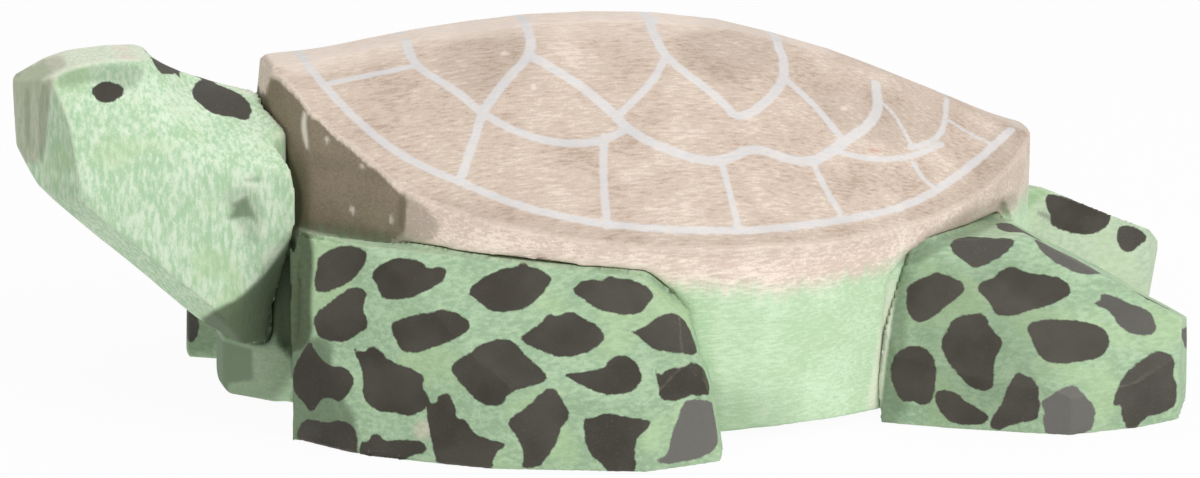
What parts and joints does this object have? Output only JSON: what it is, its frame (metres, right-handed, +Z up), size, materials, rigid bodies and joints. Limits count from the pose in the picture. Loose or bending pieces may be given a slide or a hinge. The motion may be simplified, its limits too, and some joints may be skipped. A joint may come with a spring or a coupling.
{
  "type": "wooden turtle figure",
  "caption": "Hand-carved sea turtle standing on its flippers: a one-piece domed shell and belly, with a separate head and flippers glued and dowelled on.",
  "frame": {"origin": "on the table, under the middle of the figure's box", "axes": "+X the way the turtle faces, +Y its left, +Z up"},
  "size_m": [0.122, 0.0652, 0.0375],
  "materials": {
    "shell_wood": "thin grey-brown stain with white brush lines, matt",
    "green_wood": "thin green stain with dark brown spots, matt",
    "dowel_wood": "bare"
  },
  "bodies": {
    "root": {"body": "shell_wood", "head": "green_wood", "front_left_flipper": "green_wood", "front_right_flipper": "green_wood", "rear_left_flipper": "green_wood", "rear_right_flipper": "green_wood", "head_dowel": "dowel_wood", "front_left_dowel_1": "dowel_wood", "front_left_dowel_2": "dowel_wood", "front_right_dowel_1": "dowel_wood", "front_right_dowel_2": "dowel_wood", "rear_left_dowel_1": "dowel_wood", "rear_left_dowel_2": "dowel_wood", "rear_right_dowel_1": "dowel_wood", "rear_right_dowel_2": "dowel_wood"}
  },
  "joints": []
}
